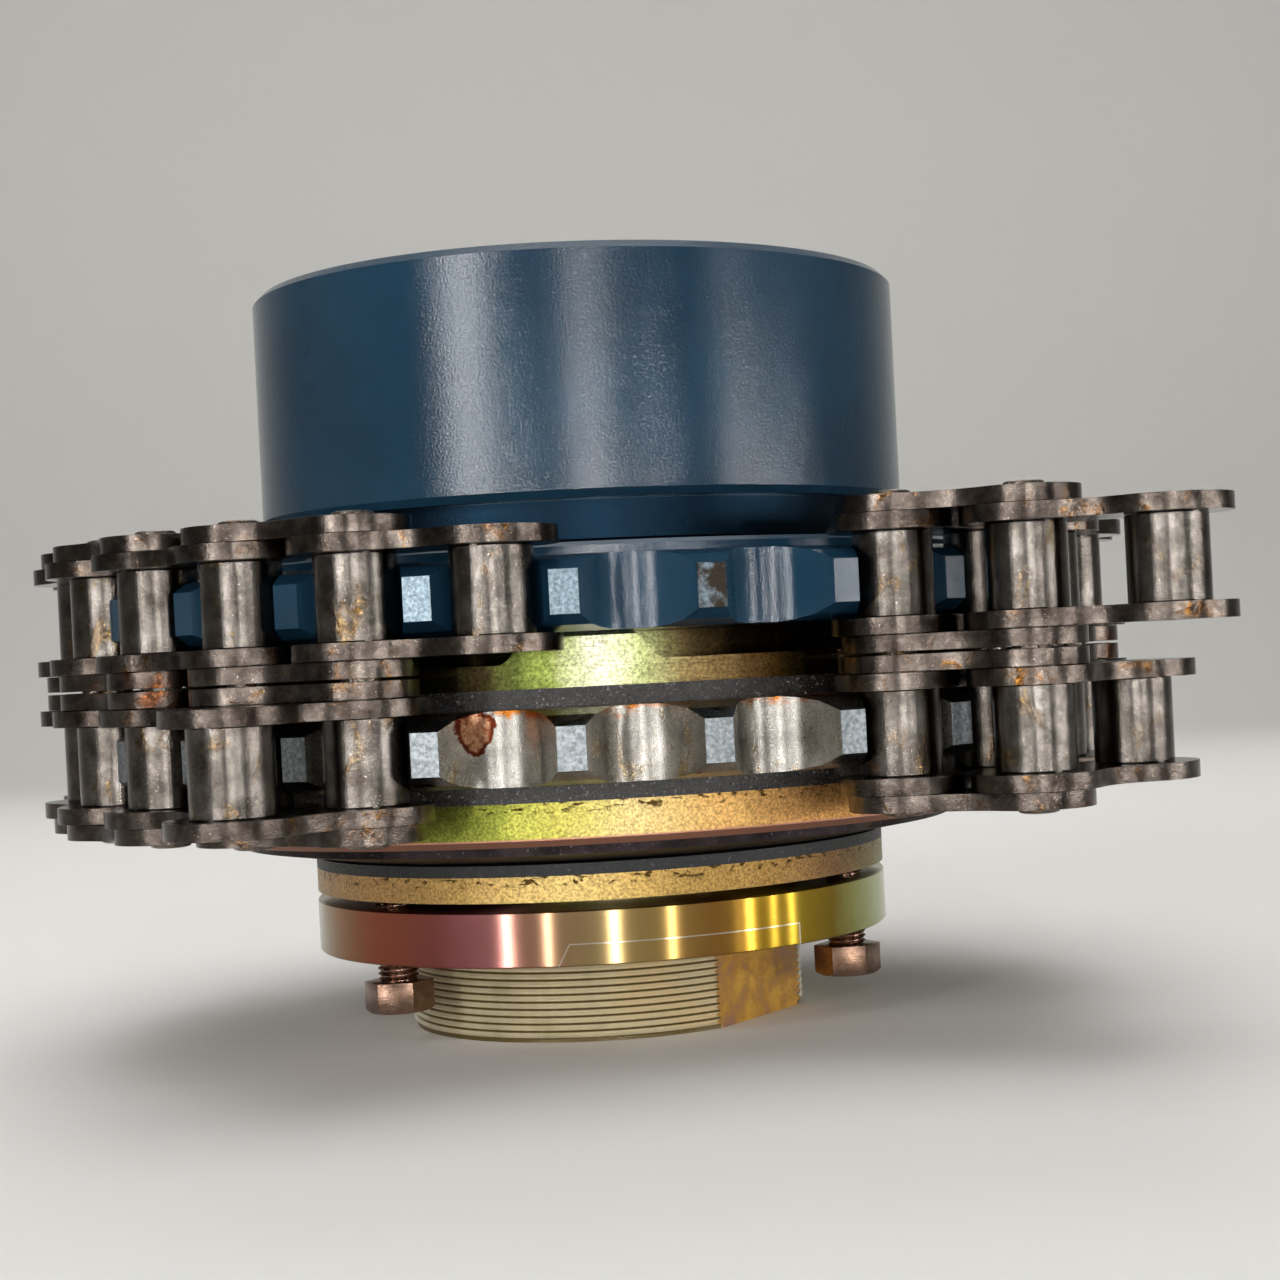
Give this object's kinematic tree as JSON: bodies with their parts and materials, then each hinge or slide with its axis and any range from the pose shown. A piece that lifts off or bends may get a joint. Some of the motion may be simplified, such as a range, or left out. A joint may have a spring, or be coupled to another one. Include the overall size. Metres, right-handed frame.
{
  "type": "torque limiter",
  "caption": "Friction torque limiter with an open duplex roller chain that joins its centre sprocket to a large-hubbed coupling sprocket.",
  "frame": {"origin": "centre of the limiter hub's bore, at the hub's threaded end face on which the part stands", "axes": "+Z along the common axis from the threaded end to the coupling sprocket's hub; +X to the right in the picture, -Y towards the camera and the opening in the chain"},
  "size_m": [0.4692, 0.48, 0.3167],
  "materials": {
    "hub_zinc": "yellow zinc plated, machined",
    "plate_zinc": "yellow zinc plated, rough forged rim",
    "pilot_zinc": "yellow zinc plated, turned",
    "facing": "moulded friction lining, dull",
    "spring_steel": "dark tempered spring steel, oiled",
    "backing": "black oxide, rough",
    "bronze": "oil-soaked sintered bronze",
    "bare_steel": "machined, lightly oiled",
    "paint": "dark slate blue, satin",
    "bolt_zinc": "yellow zinc plated, threaded",
    "chain_plate": "dark heat-treated steel, oiled",
    "chain_middle": "dark heat-treated steel, oiled",
    "chain_pin": "peened ends, oiled",
    "chain_bush": "dark steel, oiled",
    "chain_roller": "curled steel, polished, oiled"
  },
  "bodies": {
    "limiter": {"limiter_hub": "hub_zinc", "upper_facing": "facing", "lower_facing": "facing", "pressure_plate": "plate_zinc", "disc_spring": "spring_steel", "backing_ring": "backing", "thrust_plate": "plate_zinc"},
    "driven": {"centre_sprocket": "bare_steel", "centre_bush": "bronze", "coupling_sprocket": "paint", "chain_outer_plates": "chain_plate", "chain_middle_plates": "chain_middle", "chain_pins": "chain_pin", "chain_bushes": "chain_bush", "upper_inner_plates": "chain_plate", "lower_inner_plates": "chain_plate", "upper_rollers": "chain_roller", "lower_rollers": "chain_roller"},
    "pilot": {"pilot_plate": "pilot_zinc"},
    "bolt_1": {"adjusting_bolt_1": "bolt_zinc"},
    "bolt_2": {"adjusting_bolt_2": "bolt_zinc"},
    "bolt_3": {"adjusting_bolt_3": "bolt_zinc"},
    "left_link": {"left_link_plates": "chain_plate", "left_link_pins": "chain_pin"},
    "right_link": {"right_link_plates": "chain_plate", "right_link_pins": "chain_pin"},
    "left_upper_end": {"left_upper_end_plates": "chain_plate", "left_upper_end_bushes": "chain_bush"},
    "left_upper_root_roller": {"left_upper_root_roller": "chain_roller"},
    "left_upper_tip_roller": {"left_upper_tip_roller": "chain_roller"},
    "left_lower_end": {"left_lower_end_plates": "chain_plate", "left_lower_end_bushes": "chain_bush"},
    "left_lower_root_roller": {"left_lower_root_roller": "chain_roller"},
    "left_lower_tip_roller": {"left_lower_tip_roller": "chain_roller"},
    "right_upper_end": {"right_upper_end_plates": "chain_plate", "right_upper_end_bushes": "chain_bush"},
    "right_upper_root_roller": {"right_upper_root_roller": "chain_roller"},
    "right_upper_tip_roller": {"right_upper_tip_roller": "chain_roller"},
    "right_lower_end": {"right_lower_end_plates": "chain_plate", "right_lower_end_bushes": "chain_bush"},
    "right_lower_root_roller": {"right_lower_root_roller": "chain_roller"},
    "right_lower_tip_roller": {"right_lower_tip_roller": "chain_roller"}
  },
  "joints": [
    {"name": "slip", "type": "hinge", "parent": "limiter", "child": "driven", "pos_m": [0, 0, 0.125], "axis": [0, 0, 1], "continuous": true},
    {"name": "pilot_turn", "type": "hinge", "parent": "limiter", "child": "pilot", "pos_m": [0, 0, 0.0472], "axis": [0, 0, 1], "range_deg": [-180, 180]},
    {"name": "bolt_1_turn", "type": "hinge", "parent": "pilot", "child": "bolt_1", "pos_m": [-0.08588, -0.06954, 0.0362], "axis": [0, 0, 1], "range_deg": [-360, 360]},
    {"name": "bolt_2_turn", "type": "hinge", "parent": "pilot", "child": "bolt_2", "pos_m": [0.10316, -0.0396, 0.0362], "axis": [0, 0, 1], "range_deg": [-360, 360]},
    {"name": "bolt_3_turn", "type": "hinge", "parent": "pilot", "child": "bolt_3", "pos_m": [-0.01729, 0.10914, 0.0362], "axis": [0, 0, 1], "range_deg": [-360, 360]},
    {"name": "left_link_swing", "type": "hinge", "parent": "driven", "child": "left_link", "pos_m": [-0.12664, -0.16843, 0.15247], "axis": [0, 0, 1], "range_deg": [-74, 0]},
    {"name": "right_link_swing", "type": "hinge", "parent": "driven", "child": "right_link", "pos_m": [0.11258, -0.17813, 0.15247], "axis": [0, 0, 1], "range_deg": [-127, 3]},
    {"name": "left_upper_end_swing", "type": "hinge", "parent": "left_link", "child": "left_upper_end", "pos_m": [-0.08265, -0.19384, 0.18172], "axis": [0, 0, 1], "range_deg": [-133, 0]},
    {"name": "left_upper_root_roller_spin", "type": "hinge", "parent": "left_upper_end", "child": "left_upper_root_roller", "pos_m": [-0.08265, -0.19384, 0.18172], "axis": [0, 0, 1], "continuous": true},
    {"name": "left_upper_tip_roller_spin", "type": "hinge", "parent": "left_upper_end", "child": "left_upper_tip_roller", "pos_m": [-0.03386, -0.20799, 0.18172], "axis": [0, 0, 1], "continuous": true},
    {"name": "left_lower_end_swing", "type": "hinge", "parent": "left_link", "child": "left_lower_end", "pos_m": [-0.08265, -0.19384, 0.12323], "axis": [0, 0, 1], "range_deg": [-3, 130]},
    {"name": "left_lower_root_roller_spin", "type": "hinge", "parent": "left_lower_end", "child": "left_lower_root_roller", "pos_m": [-0.08265, -0.19384, 0.12323], "axis": [0, 0, 1], "continuous": true},
    {"name": "left_lower_tip_roller_spin", "type": "hinge", "parent": "left_lower_end", "child": "left_lower_tip_roller", "pos_m": [-0.12509, -0.22175, 0.12323], "axis": [0, 0, 1], "continuous": true},
    {"name": "right_upper_end_swing", "type": "hinge", "parent": "right_link", "child": "right_upper_end", "pos_m": [0.15857, -0.19971, 0.18172], "axis": [0, 0, 1], "range_deg": [-15, 58]},
    {"name": "right_upper_root_roller_spin", "type": "hinge", "parent": "right_upper_end", "child": "right_upper_root_roller", "pos_m": [0.15857, -0.19971, 0.18172], "axis": [0, 0, 1], "continuous": true},
    {"name": "right_upper_tip_roller_spin", "type": "hinge", "parent": "right_upper_end", "child": "right_upper_tip_roller", "pos_m": [0.20563, -0.21884, 0.18172], "axis": [0, 0, 1], "continuous": true},
    {"name": "right_lower_end_swing", "type": "hinge", "parent": "right_link", "child": "right_lower_end", "pos_m": [0.15857, -0.19971, 0.12323], "axis": [0, 0, 1], "range_deg": [-70, 3]},
    {"name": "right_lower_root_roller_spin", "type": "hinge", "parent": "right_lower_end", "child": "right_lower_root_roller", "pos_m": [0.15857, -0.19971, 0.12323], "axis": [0, 0, 1], "continuous": true},
    {"name": "right_lower_tip_roller_spin", "type": "hinge", "parent": "right_lower_end", "child": "right_lower_tip_roller", "pos_m": [0.20124, -0.17214, 0.12323], "axis": [0, 0, 1], "continuous": true}
  ]
}
